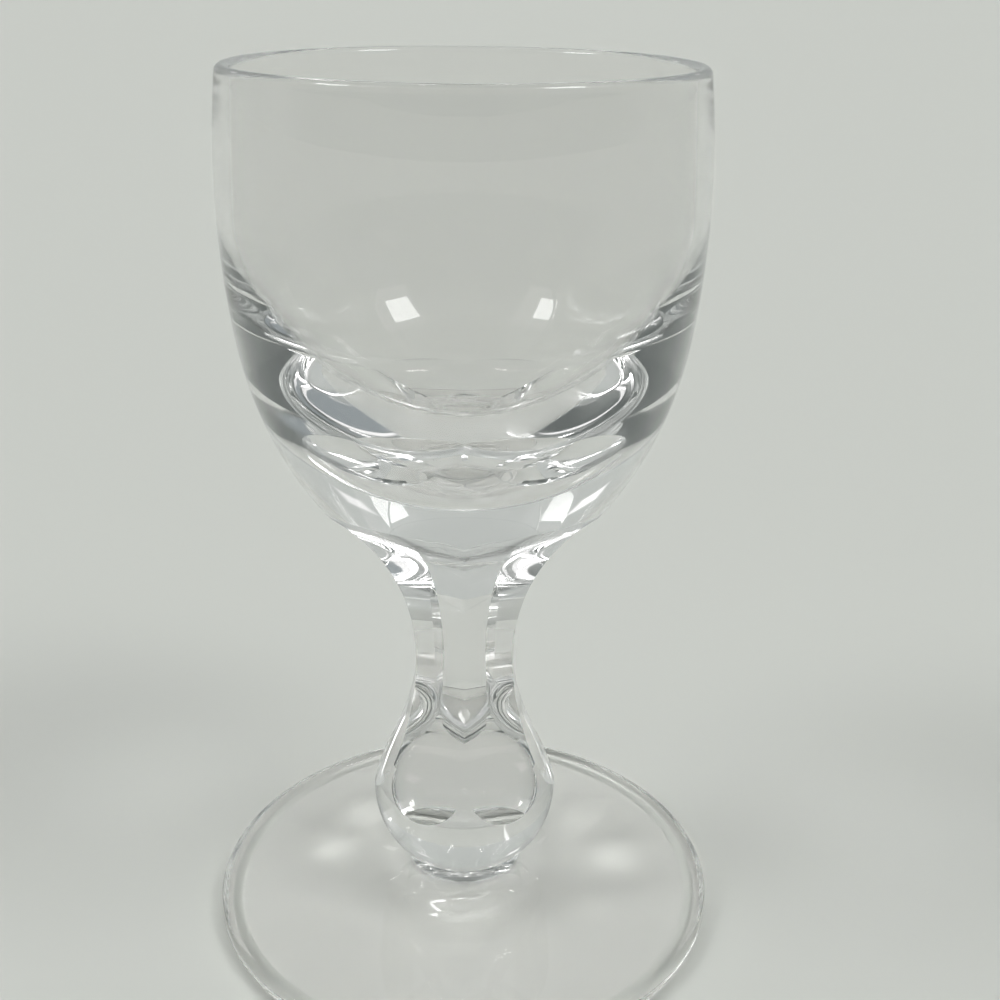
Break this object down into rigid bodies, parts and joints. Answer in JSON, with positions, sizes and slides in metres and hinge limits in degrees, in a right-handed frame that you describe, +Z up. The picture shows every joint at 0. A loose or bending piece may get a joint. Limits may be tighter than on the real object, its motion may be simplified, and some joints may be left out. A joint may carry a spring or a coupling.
{
  "type": "cordial glass",
  "caption": "Small stemmed drinking glass in clear glass: a thick-based cup on a slice-cut stem with a rounded knop and a flared round foot.",
  "frame": {"origin": "centre of the foot, on the plane that the glass stands on", "axes": "+Z up the axis of the glass to the mouth, with a flat of the stem facing +X and an edge of the stem facing -Y"},
  "size_m": [0.0606, 0.0606, 0.1],
  "materials": {
    "bowl_glass": "clear, fire-polished",
    "stem_glass": "clear, cut and polished",
    "foot_glass": "clear, fire-polished"
  },
  "bodies": {
    "root": {"bowl": "bowl_glass", "stem": "stem_glass", "foot": "foot_glass"}
  },
  "joints": []
}
